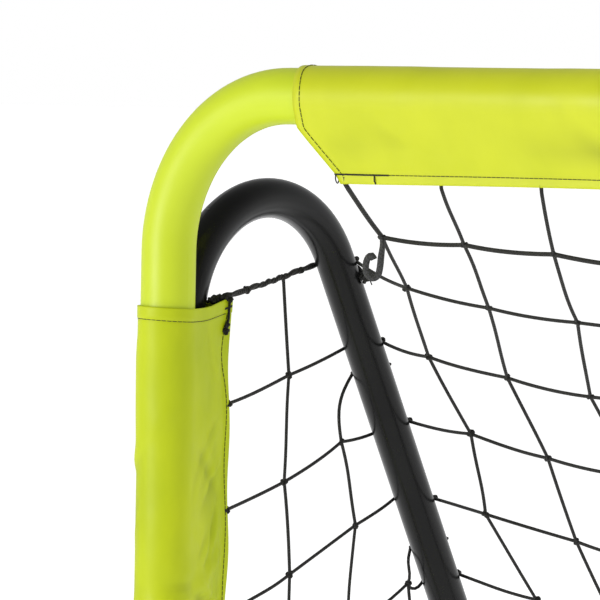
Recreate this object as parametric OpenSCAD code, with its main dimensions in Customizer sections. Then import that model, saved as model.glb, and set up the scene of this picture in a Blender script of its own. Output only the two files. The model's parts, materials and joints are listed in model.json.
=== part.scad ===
// Folding sports goal: a lime tube mouth frame, a black hinged rear frame, two swing-up ground bars,
// wrapped sleeves and a wide-mesh net. +X is the shooter's right, +Y goes back, +Z is up, millimetres.
// The origin is the middle of the footprint on the ground.

/* [View] */
// Node to draw

/* [Goal mouth] */
// Clear width between the posts
mouth_width = 1830; // [1700:10:1900]
// Clear height under the crossbar
mouth_height = 1220; // [1150:10:1260]
// Front tube outside diameter
front_d = 50; // [48:0.5:52]
// Front tube wall
front_wall = 1.5; // [1.2:0.1:2]
// Centreline radius of the top corners
corner_r = 144; // [140:1:150]
// Height of the slip joint in each post
post_joint_z = 860; // [840:5:880]
// Distance of each crossbar slip joint from the middle
crossbar_joint_x = 600; // [560:5:640]
// Length of an inner coupler
coupler_length = 160; // [120:5:180]
// Slip gap between a tube bore and its coupler or plug
slip_gap = 0.1; // [0.05:0.05:0.3]

/* [Rear frame] */
// Rear tube outside diameter
rear_d = 38; // [36:0.5:38]
// Rear tube wall
rear_wall = 1.5; // [1.2:0.1:2]
// Outboard offset of the rear arm from the post axis
arm_out = 22.5; // [22:0.5:24]
// Distance of the arm leg behind the post axis
leg_back = 47; // [46:0.5:50]
// Centreline radius of the arch at the top of each arm
arch_r = 112; // [108:1:116]
// Height of the arch centre
arch_z = 1036; // [1030:1:1040]
// Slope of the arm from the vertical in degrees
arm_slope = 28; // [26:0.5:29]
// Length of the straight run on the upper arm tube
arm_upper_run = 560; // [500:10:640]
// Centreline radius of the bottom rear corners
rear_bend_r = 46; // [44:1:46]
// Height of the rear bar axis
rear_bar_z = 24; // [24:1:26]
// Distance of each rear bar slip joint from the middle
rear_joint_x = 640; // [560:5:700]

/* [Hinges] */
// Height of the rear frame pivot
hinge_z = 981; // [978:1:984]
// Gap between the pivot and the end of the arm tube
tube_end_gap = 22; // [20:1:26]
// Radius of the round ends at the pivot
lug_r = 12; // [10:1:14]
// Ear plate thickness
ear_t = 4; // [3:0.5:5]
// Tongue plate thickness
tongue_t = 5; // [4:0.5:6]
// Pivot bolt diameter
bolt_d = 8; // [6:1:8]
// Running clearance on the radius of each pivot
run_gap = 0.06; // [0.03:0.01:0.1]
// Side play between stacked pivot parts
side_gap = 0.05; // [0.03:0.01:0.1]
// Nylon spacer thickness
spacer_t = 1.4; // [1:0.1:2]

/* [Ground bars] */
// Ground bar outside diameter
bar_d = 25; // [22:0.5:25]
// Ground bar wall
bar_wall = 1.2; // [1:0.1:1.5]
// Distance of the bar pivot behind the post axis
bar_pivot_back = 105; // [95:1:115]
// Height of the bar pivot
bar_z = 62; // [62:1:66]
// Length of bar in front of its pivot
bar_nose = 25; // [20:1:30]
// Clearance between the hook and the rear bar
hook_gap = 1; // [0.5:0.1:2]
// Thickness of the hook lip
hook_lip = 6; // [5:0.5:8]

/* [Feet] */
// Foot cap wall
cap_wall = 3; // [2.5:0.5:4]
// Foot cap floor
cap_floor = 6; // [5:0.5:8]
// Foot cap height
cap_height = 45; // [40:1:48]
// Rear foot length
rear_foot_length = 80; // [60:5:100]
// Distance of each rear foot from the middle
rear_foot_x = 790; // [740:5:820]

/* [Sleeves] */
// Sleeve sheet thickness
sleeve_t = 2; // [1.5:0.1:2.5]
// Gap between a sleeve and the tube inside it
sleeve_gap = 0.4; // [0.3:0.1:1]
// Distance from the post axis to the start of the crossbar sleeve
crossbar_sleeve_in = 167; // [150:1:175]
// Drop of the crossbar flap below the tube axis
flap_drop = 75; // [70:1:85]
// Distance of the crossbar hem behind the tube axis
flap_back = 7; // [0:1:12]
// Sideways run of the slanted flap end
flap_slant = 36; // [30:1:60]
// Height of the post sleeve top edge
post_sleeve_top = 1051; // [1040:1:1060]
// Height of the post sleeve bottom edge
post_sleeve_bottom = 150; // [130:5:200]
// Sideways place of the post sleeve seam from the post axis
seam_side = 5; // [0:1:8]
// Distance of the post sleeve seam behind the post axis
seam_back = 78; // [76:1:84]

/* [Net] */
// Mesh spacing across
mesh_x = 104.5; // [95:0.5:115]
// Mesh spacing up the net
mesh_z = 104; // [95:1:115]
// Cord width
cord_w = 4; // [3:0.5:5]
// Net panel thickness
net_t = 3; // [2:0.5:3]
// Half width of the back panel
back_half = 878; // [860:1:880]
// Half width of the top panel where it meets the crossbar
top_half = 735; // [700:1:760]
// Height of the front edge of the top panel
top_front_z = 1150; // [1140:1:1155]
// Height of the fold between the top and back panels
net_fold_z = 1024; // [1000:1:1040]
// Height of the bottom edge of the back panel
back_low_z = 72; // [70:1:90]
// Distance of the back panel in front of the arm axes
back_inset = 24; // [24:1:30]
// Sideways distance from the post axis to the side panel
side_out = 47; // [46.5:0.5:48]

/* [Hidden] */
$fn = 96;
front_r = front_d / 2;
rear_r = rear_d / 2;
bar_r = bar_d / 2;
bolt_r = bolt_d / 2;
post_x = mouth_width / 2 + front_r;
crossbar_z = mouth_height + front_r;
bend_z = crossbar_z - corner_r;
bend_x = post_x - corner_r;
arm_x = post_x + arm_out;
joint_gap = 0.1;
// The leg is drawn down a little smaller than the arch, which it runs into by the lap.
leg_step = 0.2;
leg_lap = 3;

// The footprint runs from the front of the foot caps to the back of the ground bar hooks.
arch_back = leg_back + arch_r;
run_back = arch_back + arch_r * cos(arm_slope);
run_z = arch_z + arch_r * sin(arm_slope);
arm_run = (run_z - rear_bar_z) / cos(arm_slope);
rear_back = run_back + arm_run * sin(arm_slope);
cap_r = front_r + cap_wall;
hook_r = rear_r + hook_gap;
hook_back = rear_back + hook_r + hook_lip;
mouth_y = -(hook_back - cap_r) / 2;
leg_y = mouth_y + leg_back;
arch_y = mouth_y + arch_back;
run_y = mouth_y + run_back;
rear_y = mouth_y + rear_back;

// Stack of the rear pivot, as distances outboard of the post axis.
tongue_in = arm_out - tongue_t / 2;
tongue_out = arm_out + tongue_t / 2;
ear_out = tongue_in - 2 * side_gap - spacer_t;
ear_in = ear_out - ear_t;
head_h = 5.3;
nut_h = 6.5;
hex_d = 15;
wash_r = 7.5;

// Stack of the ground bar pivot, as distances inboard of the post axis.
foot_ear_in = 23;
foot_ear_out = foot_ear_in - ear_t;
bar_in = foot_ear_in + 2 * side_gap + spacer_t + bar_r;
bar_x = post_x - bar_in;
bar_y = mouth_y + bar_pivot_back;
foot_lug_r = 14;
ear_base_z = 52;
ear_base_h = 42;
bar_end_y = rear_y - rear_r - 6;

// Screws.
screw_r = 2.5;
screw_gap = 0.05;
front_screw_top = front_r - 0.4;
sink_r = 4.6;
sink_h = 1.9;
button_r = 4.75;
button_h = 2.7;
socket_d = 3.4;
screw_reach = 30;

// Sleeve shapes.
wrap_in = front_r + sleeve_gap;
wrap_out = wrap_in + sleeve_t;
leg_wrap_in = rear_r + 1.2;
leg_wrap_out = leg_wrap_in + sleeve_t;
hem_r = 1.5;
hem_in_r = 0.3;
hem_band = 8;
// Straight sides of a wrapped shape start this far inside its round ends, so the two always cross.
tuck = 0.05;

// Net panels. The back panel is parallel to the arms, and the top panel runs on to the crossbar hem.
arm_line_y = rear_y - back_inset / cos(arm_slope);
fold_y = arm_line_y - (net_fold_z - rear_bar_z) * tan(arm_slope);
back_low_y = arm_line_y - (back_low_z - rear_bar_z) * tan(arm_slope);
back_height = (net_fold_z - back_low_z) / cos(arm_slope);
top_front_y = mouth_y + 10;
side_low_z = 75;
side_top_z = post_sleeve_top - 6;
top_pitch = atan((top_front_z - net_fold_z - net_t) / (fold_y - top_front_y));
top_length = (fold_y - top_front_y) / cos(top_pitch) - net_t;

// ---------- helpers ----------

// Children drawn in a plane with its first axis along +Y and its second along +Z, pushed along +X from x.
module side_plane(x) {
    translate([x, 0, 0]) rotate([90, 0, 90]) children();
}

// Both mirror images of a child drawn on the left.
module both() {
    children();
    mirror([1, 0, 0]) children();
}

// A rod along +X from x0 to x1.
module rod_x(r, x0, x1) {
    translate([x0, 0, 0]) rotate([0, 90, 0]) cylinder(r = r, h = x1 - x0);
}

// A quarter or part torus in the plane of X and Z, from angle a0 through sweep degrees.
module bend(r, bend_radius, a0, sweep) {
    rotate([90, 0, 0]) rotate([0, 0, a0]) rotate_extrude(angle = sweep) translate([bend_radius, 0]) circle(r = r);
}

// Unit normal of the outer tangent from circle c1 to circle c2 on the given side.
function tangent_normal(c1, r1, c2, r2, side) =
    let (d = c2 - c1, a = atan2(d[1], d[0]) + side * acos((r1 - r2) / norm(d)))
    [cos(a), sin(a)];

// Rounded shape round two discs.
module wrap_two(c1, r1, c2, r2) {
    n1 = tangent_normal(c1, r1, c2, r2, 1);
    n2 = tangent_normal(c1, r1, c2, r2, -1);
    t1 = r1 - tuck;
    t2 = r2 - tuck;
    translate(c1) circle(r = r1);
    translate(c2) circle(r = r2);
    polygon([c1 + t1 * n2, c2 + t2 * n2, c2 + t2 * n1, c1 + t1 * n1]);
}

// Rounded shape round three discs given anticlockwise.
module wrap_three(c1, r1, c2, r2, c3, r3) {
    n12 = tangent_normal(c1, r1, c2, r2, -1);
    n23 = tangent_normal(c2, r2, c3, r3, -1);
    n31 = tangent_normal(c3, r3, c1, r1, -1);
    t1 = r1 - tuck;
    t2 = r2 - tuck;
    t3 = r3 - tuck;
    translate(c1) circle(r = r1);
    translate(c2) circle(r = r2);
    translate(c3) circle(r = r3);
    polygon([c1 + t1 * n12, c2 + t2 * n12, c2 + t2 * n23, c3 + t3 * n23, c3 + t3 * n31, c1 + t1 * n31]);
}

// ---------- front frame ----------

// Solid rod along the left top corner, from the post joint round to the crossbar joint.
module corner_rod(r, extra) {
    translate([0, mouth_y, 0]) {
        translate([-post_x, 0, post_joint_z - extra]) cylinder(r = r, h = bend_z - post_joint_z + extra);
        translate([-bend_x, 0, bend_z]) bend(r, corner_r, 90, 90);
        translate([0, 0, crossbar_z]) rod_x(r, -bend_x, -crossbar_joint_x + extra);
    }
}

// Countersunk screw pointing along +Z from a tube axis.
module sunk_screw(gap) {
    translate([0, 0, front_r - 6]) cylinder(r = screw_r + gap, h = 6 - sink_h);
    translate([0, 0, front_screw_top - sink_h]) cylinder(r1 = screw_r + gap, r2 = sink_r + gap, h = sink_h);
}

// Screw hole through a front tube wall, open to the outside.
module sunk_hole() {
    sunk_screw(screw_gap);
    translate([0, 0, front_screw_top]) cylinder(r = sink_r + screw_gap, h = 2);
}

// Places a child at each screw of the left post joint and of the left crossbar joint.
module front_screw_places() {
    for (dz = [-screw_reach, screw_reach]) {
        translate([-post_x, mouth_y, post_joint_z + dz]) rotate([0, -90, 0]) children();
    }
    for (dx = [-screw_reach, screw_reach]) {
        translate([-crossbar_joint_x + dx, mouth_y, crossbar_z]) rotate([180, 0, 0]) children();
    }
}

module left_corner_tube() {
    color([0.55, 0.86, 0.1]) difference() {
        corner_rod(front_r, 0);
        corner_rod(front_r - front_wall, 1);
        front_screw_places() sunk_hole();
    }
}

module right_corner_tube() {
    mirror([1, 0, 0]) left_corner_tube();
}

module crossbar_tube() {
    color([0.55, 0.86, 0.1]) difference() {
        translate([0, mouth_y, crossbar_z]) rod_x(front_r, -crossbar_joint_x, crossbar_joint_x);
        translate([0, mouth_y, crossbar_z]) rod_x(front_r - front_wall, -crossbar_joint_x - 1, crossbar_joint_x + 1);
        both() front_screw_places() sunk_hole();
    }
}

module left_post_tube() {
    color([0.55, 0.86, 0.1]) difference() {
        translate([-post_x, mouth_y, cap_floor]) cylinder(r = front_r, h = post_joint_z - cap_floor);
        translate([-post_x, mouth_y, cap_floor - 1]) {
            cylinder(r = front_r - front_wall, h = post_joint_z - cap_floor + 2);
        }
        front_screw_places() sunk_hole();
    }
}

module right_post_tube() {
    mirror([1, 0, 0]) left_post_tube();
}

module crossbar_couplers() {
    coupler_r = front_r - front_wall - slip_gap;
    color([0.7, 0.7, 0.72]) both() difference() {
        translate([-crossbar_joint_x - coupler_length / 2, mouth_y, crossbar_z]) rod_x(coupler_r, 0, coupler_length);
        translate([-crossbar_joint_x - coupler_length / 2, mouth_y, crossbar_z]) {
            rod_x(coupler_r - front_wall, -1, coupler_length + 1);
        }
        front_screw_places() sunk_hole();
    }
}

module post_couplers() {
    coupler_r = front_r - front_wall - slip_gap;
    color([0.7, 0.7, 0.72]) both() difference() {
        translate([-post_x, mouth_y, post_joint_z - coupler_length / 2]) cylinder(r = coupler_r, h = coupler_length);
        translate([-post_x, mouth_y, post_joint_z - coupler_length / 2 - 1]) {
            cylinder(r = coupler_r - front_wall, h = coupler_length + 2);
        }
        front_screw_places() sunk_hole();
    }
}

module front_screws() {
    color([0.75, 0.75, 0.77]) both() front_screw_places() sunk_screw(0);
}

module left_hinge_ear() {
    color([0.55, 0.86, 0.1]) difference() {
        side_plane(-post_x - ear_out) linear_extrude(ear_t) difference() {
            union() {
                wrap_two([mouth_y + 14, hinge_z], lug_r + 4, [leg_y, hinge_z], lug_r);
            }
            translate([leg_y, hinge_z]) circle(r = bolt_r + run_gap);
        }
        translate([-post_x, mouth_y, hinge_z - 40]) cylinder(r = front_r, h = 80);
    }
}

module right_hinge_ear() {
    mirror([1, 0, 0]) left_hinge_ear();
}

// Hex bolt along +X: the head sits below x = 0 and the shank runs to length.
module hex_bolt(length) {
    translate([-head_h, 0, 0]) rotate([0, 90, 0]) cylinder(d = hex_d, h = head_h, $fn = 6);
    rod_x(bolt_r, 0, length);
}

// Lock nut along +X from x = 0, with its round collar on the far side.
module lock_nut() {
    difference() {
        union() {
            rotate([0, 90, 0]) cylinder(d = hex_d, h = nut_h - 1.5, $fn = 6);
            rod_x(5.8, 0, nut_h);
        }
        rod_x(bolt_r + side_gap, -1, nut_h + 1);
    }
}

module hinge_bolts() {
    color([0.75, 0.75, 0.77]) both() translate([-post_x - tongue_out - side_gap, leg_y, hinge_z]) hex_bolt(21);
}

module hinge_nuts() {
    color([0.75, 0.75, 0.77]) both() translate([-post_x - ear_in + side_gap, leg_y, hinge_z]) lock_nut();
}

module spacer() {
    difference() {
        rod_x(wash_r, 0, spacer_t);
        rod_x(bolt_r + run_gap, -1, spacer_t + 1);
    }
}

module hinge_spacers() {
    color([0.92, 0.92, 0.88]) both() translate([-post_x - tongue_in + side_gap, leg_y, hinge_z]) spacer();
}

module left_foot_ear() {
    color([0.55, 0.86, 0.1]) difference() {
        side_plane(-post_x + foot_ear_out) linear_extrude(ear_t) difference() {
            union() {
                polygon([
                    [mouth_y + 5, ear_base_z], [bar_y, bar_z - foot_lug_r],
                    [bar_y, bar_z + foot_lug_r], [mouth_y + 5, ear_base_z + ear_base_h]
                ]);
                translate([bar_y, bar_z]) circle(r = foot_lug_r);
            }
            translate([bar_y, bar_z]) circle(r = bolt_r + run_gap);
        }
        translate([-post_x, mouth_y, 0]) cylinder(r = front_r, h = 150);
    }
}

module right_foot_ear() {
    mirror([1, 0, 0]) left_foot_ear();
}

module foot_bolts() {
    color([0.75, 0.75, 0.77]) both() {
        translate([-bar_x + bar_r + side_gap, bar_y, bar_z]) mirror([1, 0, 0]) hex_bolt(bar_d + 15);
    }
}

module foot_nuts() {
    color([0.75, 0.75, 0.77]) both() {
        translate([-post_x + foot_ear_out - side_gap, bar_y, bar_z]) mirror([1, 0, 0]) lock_nut();
    }
}

module foot_spacers() {
    color([0.92, 0.92, 0.88]) both() translate([-post_x + foot_ear_in + side_gap, bar_y, bar_z]) spacer();
}

module left_foot_cap() {
    color([0.12, 0.12, 0.13]) translate([-post_x, mouth_y, 0]) difference() {
        union() {
            translate([0, 0, 3]) cylinder(r = cap_r, h = cap_height - 5);
            cylinder(r1 = cap_r - 3, r2 = cap_r, h = 3);
            translate([0, 0, cap_height - 2]) cylinder(r1 = cap_r, r2 = cap_r - 1.5, h = 2);
        }
        translate([0, 0, cap_floor]) cylinder(r = front_r + side_gap, h = cap_height);
    }
}

module right_foot_cap() {
    mirror([1, 0, 0]) left_foot_cap();
}

// ---------- sleeves ----------

// Section of the crossbar wrap, first axis along +Y and second along +Z.
module crossbar_wrap(tube_r, end_r, drop) {
    wrap_two([mouth_y, crossbar_z], tube_r, [mouth_y + flap_back, crossbar_z - drop + end_r], end_r);
}

module crossbar_sleeve() {
    sleeve_half = post_x - crossbar_sleeve_in;
    color([0.6, 0.88, 0.12]) difference() {
        side_plane(-sleeve_half) linear_extrude(2 * sleeve_half) difference() {
            crossbar_wrap(wrap_out, hem_r, flap_drop);
            crossbar_wrap(wrap_in, hem_in_r, flap_drop - hem_band);
        }
        both() translate([0, mouth_y + 60, crossbar_z]) rotate([90, 0, 0]) linear_extrude(120) {
            polygon([
                [-sleeve_half - 1, -wrap_in], [-sleeve_half, -wrap_in], [-sleeve_half + flap_slant, -flap_drop],
                [-sleeve_half + flap_slant, -flap_drop - 5], [-sleeve_half - 1, -flap_drop - 5]
            ]);
        }
    }
}

// Section of the left post wrap seen from above: the post, the arm leg beside it and the seam behind.
module post_wrap(tube_r, leg_r, end_r, pull) {
    wrap_three(
        [-post_x, mouth_y], tube_r,
        [-post_x + seam_side, mouth_y + seam_back - end_r - pull], end_r,
        [-arm_x, leg_y], leg_r
    );
}

module left_post_sleeve() {
    color([0.6, 0.88, 0.12]) translate([0, 0, post_sleeve_bottom]) {
        linear_extrude(post_sleeve_top - post_sleeve_bottom) difference() {
            post_wrap(wrap_out, leg_wrap_out, hem_r, 0);
            post_wrap(wrap_in, leg_wrap_in, hem_in_r, hem_band);
        }
    }
}

module right_post_sleeve() {
    mirror([1, 0, 0]) left_post_sleeve();
}

// ---------- rear frame ----------

// Solid rod along the left arm: leg, arch and upper straight run.
module arm_rod(r, extra) {
    leg_h = arch_z - hinge_z - tube_end_gap + extra;
    side_plane(-arm_x) translate([arch_y, arch_z]) rotate([0, 0, arm_slope]) {
        rotate_extrude(angle = 180 - arm_slope) translate([arch_r, 0]) circle(r = r);
        rotate([0, 0, 180 - arm_slope]) translate([arch_r, -leg_lap]) rotate([-90, 0, 0]) {
            cylinder(r = r - leg_step, h = leg_h + leg_lap);
        }
        translate([arch_r, 0]) rotate([90, 0, 0]) cylinder(r = r, h = arm_upper_run - joint_gap + extra);
    }
}

// Children in a frame at the foot of the left arm, with +Z pointing up the slope.
module slope_frame() {
    translate([0, rear_y, rear_bar_z]) rotate([arm_slope, 0, 0]) children();
}

// Solid rod along the lower left arm, the bottom corner and the start of the rear bar.
module rear_corner_rod(r, extra) {
    slope_frame() {
        translate([-arm_x, 0, rear_bend_r]) cylinder(r = r, h = arm_run - arm_upper_run - rear_bend_r + extra);
        translate([-arm_x + rear_bend_r, 0, rear_bend_r]) bend(r, rear_bend_r, 180, 90);
        rod_x(r, -arm_x + rear_bend_r, -rear_joint_x + extra);
    }
}

// Button screw pointing along +Z from a tube axis.
module button_screw() {
    difference() {
        union() {
            translate([0, 0, rear_r - 6]) cylinder(r = screw_r, h = 6);
            translate([0, 0, rear_r]) cylinder(r = button_r, h = 0.6);
            translate([0, 0, rear_r + 0.6]) cylinder(r1 = button_r, r2 = button_r - 2, h = button_h - 0.6);
        }
        translate([0, 0, rear_r + 0.9]) cylinder(d = socket_d, h = button_h, $fn = 6);
    }
}

module button_hole() {
    translate([0, 0, rear_r - 8]) cylinder(r = screw_r + screw_gap, h = 10);
}

// Places a child at each screw of the left arm joint and the left rear bar joint.
module rear_screw_places() {
    slope_frame() {
        for (dz = [-screw_reach, screw_reach]) {
            translate([-arm_x, 0, arm_run - arm_upper_run + dz]) rotate([-90, 0, 0]) children();
        }
        for (dx = [-screw_reach, screw_reach]) {
            translate([-rear_joint_x + dx, 0, 0]) rotate([-90, 0, 0]) children();
        }
    }
}

module left_arm_tube() {
    color([0.05, 0.05, 0.06]) difference() {
        arm_rod(rear_r, 0);
        arm_rod(rear_r - rear_wall, 1);
        rear_screw_places() button_hole();
    }
}

module right_arm_tube() {
    mirror([1, 0, 0]) left_arm_tube();
}

module left_rear_corner_tube() {
    color([0.05, 0.05, 0.06]) difference() {
        rear_corner_rod(rear_r, 0);
        rear_corner_rod(rear_r - rear_wall, 1);
        rear_screw_places() button_hole();
    }
}

module right_rear_corner_tube() {
    mirror([1, 0, 0]) left_rear_corner_tube();
}

module rear_bar_tube() {
    color([0.05, 0.05, 0.06]) difference() {
        translate([0, rear_y, rear_bar_z]) rod_x(rear_r, -rear_joint_x, rear_joint_x);
        translate([0, rear_y, rear_bar_z]) rod_x(rear_r - rear_wall, -rear_joint_x - 1, rear_joint_x + 1);
        both() rear_screw_places() button_hole();
    }
}

module arm_couplers() {
    coupler_r = rear_r - rear_wall - slip_gap;
    color([0.7, 0.7, 0.72]) both() difference() {
        slope_frame() translate([-arm_x, 0, arm_run - arm_upper_run - coupler_length / 2]) difference() {
            cylinder(r = coupler_r, h = coupler_length);
            translate([0, 0, -1]) cylinder(r = coupler_r - rear_wall, h = coupler_length + 2);
        }
        rear_screw_places() button_hole();
    }
}

module rear_bar_couplers() {
    coupler_r = rear_r - rear_wall - slip_gap;
    color([0.7, 0.7, 0.72]) both() difference() {
        translate([-rear_joint_x - coupler_length / 2, rear_y, rear_bar_z]) difference() {
            rod_x(coupler_r, 0, coupler_length);
            rod_x(coupler_r - rear_wall, -1, coupler_length + 1);
        }
        rear_screw_places() button_hole();
    }
}

module rear_screws() {
    color([0.2, 0.2, 0.21]) both() rear_screw_places() button_screw();
}

module left_arm_tongue() {
    plug_r = rear_r - rear_wall - leg_step - slip_gap;
    plug_z = hinge_z + tube_end_gap + 1;
    color([0.3, 0.3, 0.31]) difference() {
        union() {
            translate([-arm_x, leg_y, plug_z]) cylinder(r = plug_r, h = 28);
            translate([-arm_x - tongue_t / 2, leg_y - lug_r, hinge_z]) cube([tongue_t, 2 * lug_r, plug_z - hinge_z + 1]);
            translate([0, leg_y, hinge_z]) rod_x(lug_r, -arm_x - tongue_t / 2, -arm_x + tongue_t / 2);
        }
        translate([0, leg_y, hinge_z]) rod_x(bolt_r + run_gap, -arm_x - tongue_t, -arm_x + tongue_t);
    }
}

module right_arm_tongue() {
    mirror([1, 0, 0]) left_arm_tongue();
}

module left_rear_foot() {
    color([0.12, 0.12, 0.13]) translate([-rear_foot_x - rear_foot_length / 2, rear_y, rear_bar_z]) difference() {
        union() {
            rod_x(rear_r + 3.5, 0, rear_foot_length);
            translate([0, -20, -rear_bar_z]) cube([rear_foot_length, 40, 14]);
        }
        rod_x(rear_r + side_gap, -1, rear_foot_length + 1);
    }
}

module right_rear_foot() {
    mirror([1, 0, 0]) left_rear_foot();
}

// ---------- ground bars ----------

module left_ground_bar() {
    color([0.05, 0.05, 0.06]) difference() {
        translate([-bar_x, bar_y - bar_nose, bar_z]) rotate([-90, 0, 0]) difference() {
            cylinder(r = bar_r, h = bar_end_y - bar_y + bar_nose);
            translate([0, 0, -1]) cylinder(r = bar_r - bar_wall, h = bar_end_y - bar_y + bar_nose + 2);
        }
        translate([0, bar_y, bar_z]) rod_x(bolt_r + run_gap, -bar_x - bar_d, -bar_x + bar_d);
    }
}

module right_ground_bar() {
    mirror([1, 0, 0]) left_ground_bar();
}

module left_bar_plug() {
    plug_r = bar_r - bar_wall - slip_gap;
    color([0.12, 0.12, 0.13]) difference() {
        translate([-bar_x, bar_y - bar_nose, bar_z]) rotate([-90, 0, 0]) {
            translate([0, 0, -3]) cylinder(r1 = bar_r - 1.5, r2 = bar_r, h = 3);
            cylinder(r = plug_r, h = bar_nose + 15);
        }
        translate([0, bar_y, bar_z]) rod_x(bolt_r + run_gap, -bar_x - bar_d, -bar_x + bar_d);
    }
}

module right_bar_plug() {
    mirror([1, 0, 0]) left_bar_plug();
}

module left_bar_hook() {
    plug_r = bar_r - bar_wall - slip_gap;
    lip_y = rear_y + hook_r;
    color([0.12, 0.12, 0.13]) union() {
        translate([-bar_x, bar_end_y - 35, bar_z]) rotate([-90, 0, 0]) cylinder(r = plug_r, h = 36);
        difference() {
            side_plane(-bar_x - bar_r) linear_extrude(bar_d) polygon([
                [bar_end_y, bar_z - bar_r], [rear_y, bar_z - bar_r - 5], [rear_y, rear_bar_z - 4],
                [lip_y + hook_lip, rear_bar_z - 4], [lip_y + hook_lip, bar_z], [lip_y, bar_z + bar_r],
                [bar_end_y, bar_z + bar_r]
            ]);
            translate([0, rear_y, rear_bar_z]) rod_x(hook_r, -bar_x - bar_d, -bar_x + bar_d);
            side_plane(-bar_x - bar_d) linear_extrude(2 * bar_d) {
                translate([rear_y, rear_bar_z - 10]) square([hook_r, 10]);
            }
        }
    }
}

module right_bar_hook() {
    mirror([1, 0, 0]) left_bar_hook();
}

// ---------- net ----------

// Cords of a square mesh over a width and height, centred across and starting at zero up.
module mesh_cords(width, height, step_x, step_y) {
    cols = floor(width / 2 / step_x);
    rows = floor(height / step_y);
    for (i = [-cols : cols]) {
        translate([i * step_x - cord_w / 2, 0]) square([cord_w, height]);
    }
    for (j = [0 : rows - 1]) {
        translate([-width / 2, j * step_y]) square([width, cord_w]);
    }
    translate([-width / 2, height - cord_w]) square([width, cord_w]);
    translate([-width / 2, 0]) square([cord_w, height]);
    translate([width / 2 - cord_w, 0]) square([cord_w, height]);
}

module net_top() {
    color([0.08, 0.08, 0.08]) translate([0, top_front_y, top_front_z]) rotate([180 - top_pitch, 0, 0]) {
        mirror([0, 1, 0]) linear_extrude(net_t) {
            difference() {
                top_outline(0);
                top_outline(cord_w);
            }
            intersection() {
                top_outline(1);
                mesh_cords(2 * back_half, top_length, mesh_x, mesh_z);
            }
        }
    }
}

// Outline of the top panel, widening from the crossbar hem to the back, pulled in by a margin.
module top_outline(m) {
    polygon([
        [-top_half + m, m], [top_half - m, m],
        [back_half - m, top_length - m], [-back_half + m, top_length - m]
    ]);
}

module net_back() {
    color([0.08, 0.08, 0.08]) translate([0, back_low_y, back_low_z]) rotate([90 + arm_slope, 0, 0]) {
        linear_extrude(net_t) mesh_cords(2 * back_half, back_height, mesh_x, mesh_z);
    }
}

// Outline of a side panel in the plane of Y and Z, pulled in by a margin.
module side_outline(m) {
    front_y = mouth_y + seam_back + 10 + m;
    polygon([
        [front_y, side_low_z + m], [rear_y - 45 - m, side_low_z + m],
        [run_y - m, run_z - m], [front_y, side_top_z - m]
    ]);
}

module net_left() {
    side_width = rear_back - seam_back;
    color([0.08, 0.08, 0.08]) side_plane(-post_x - side_out - net_t) linear_extrude(net_t) {
        difference() {
            side_outline(0);
            side_outline(cord_w);
        }
        intersection() {
            side_outline(1);
            translate([mouth_y + seam_back + side_width / 2, side_low_z]) {
                mesh_cords(side_width, crossbar_z - side_low_z, mesh_x, mesh_z);
            }
        }
    }
}

module net_right() {
    mirror([1, 0, 0]) net_left();
}

// ---------- nodes ----------

left_corner_tube();
right_corner_tube();
crossbar_tube();
left_post_tube();
right_post_tube();
crossbar_couplers();
post_couplers();
front_screws();
left_hinge_ear();
right_hinge_ear();
hinge_bolts();
hinge_nuts();
hinge_spacers();
left_foot_ear();
right_foot_ear();
foot_bolts();
foot_nuts();
foot_spacers();
left_foot_cap();
right_foot_cap();
crossbar_sleeve();
left_post_sleeve();
right_post_sleeve();
left_arm_tube();
right_arm_tube();
left_rear_corner_tube();
right_rear_corner_tube();
rear_bar_tube();
arm_couplers();
rear_bar_couplers();
rear_screws();
left_arm_tongue();
right_arm_tongue();
left_rear_foot();
right_rear_foot();
net_top();
net_back();
net_left();
net_right();
left_ground_bar();
right_ground_bar();
left_bar_plug();
right_bar_plug();
left_bar_hook();
right_bar_hook();
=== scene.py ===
"""Looks of a folding sports goal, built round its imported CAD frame.

Local coordinates are millimetres from the top of the straight part of the left post:
x runs inboard, y back and z up. place() turns them into the row frame, on either side.
"""

import json
import math

import bpy
import numpy as np
from mathutils import Matrix, Vector

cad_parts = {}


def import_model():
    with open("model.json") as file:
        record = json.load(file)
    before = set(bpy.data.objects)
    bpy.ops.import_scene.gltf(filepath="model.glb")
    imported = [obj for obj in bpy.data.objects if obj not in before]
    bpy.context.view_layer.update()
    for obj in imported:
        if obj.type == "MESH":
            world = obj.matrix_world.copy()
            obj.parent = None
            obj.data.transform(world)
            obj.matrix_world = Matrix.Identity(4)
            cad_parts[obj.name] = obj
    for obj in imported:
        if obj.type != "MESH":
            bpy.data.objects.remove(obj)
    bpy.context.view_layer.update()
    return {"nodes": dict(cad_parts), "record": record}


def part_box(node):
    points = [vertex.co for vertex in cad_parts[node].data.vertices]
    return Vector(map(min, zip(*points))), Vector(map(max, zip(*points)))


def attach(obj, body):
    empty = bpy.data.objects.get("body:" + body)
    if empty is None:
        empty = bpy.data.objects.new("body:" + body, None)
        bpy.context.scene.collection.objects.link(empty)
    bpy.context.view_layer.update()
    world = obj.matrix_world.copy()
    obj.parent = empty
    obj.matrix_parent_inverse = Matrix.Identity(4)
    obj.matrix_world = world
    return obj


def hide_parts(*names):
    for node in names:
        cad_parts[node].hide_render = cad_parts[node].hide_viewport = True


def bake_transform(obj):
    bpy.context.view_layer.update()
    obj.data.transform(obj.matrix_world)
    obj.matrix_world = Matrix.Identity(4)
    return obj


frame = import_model()

MM = 0.001
LEFT, RIGHT = -1, 1
CORNER_R = 144.0
ARM_R = 19.0
ARM_X = -22.5
ARM_SLOPE = math.radians(28)
LEG_BACK = 47.0
ARCH_R = 112.0
ARCH_Z = -65.0
HINGE_Z = -120.0

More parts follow.
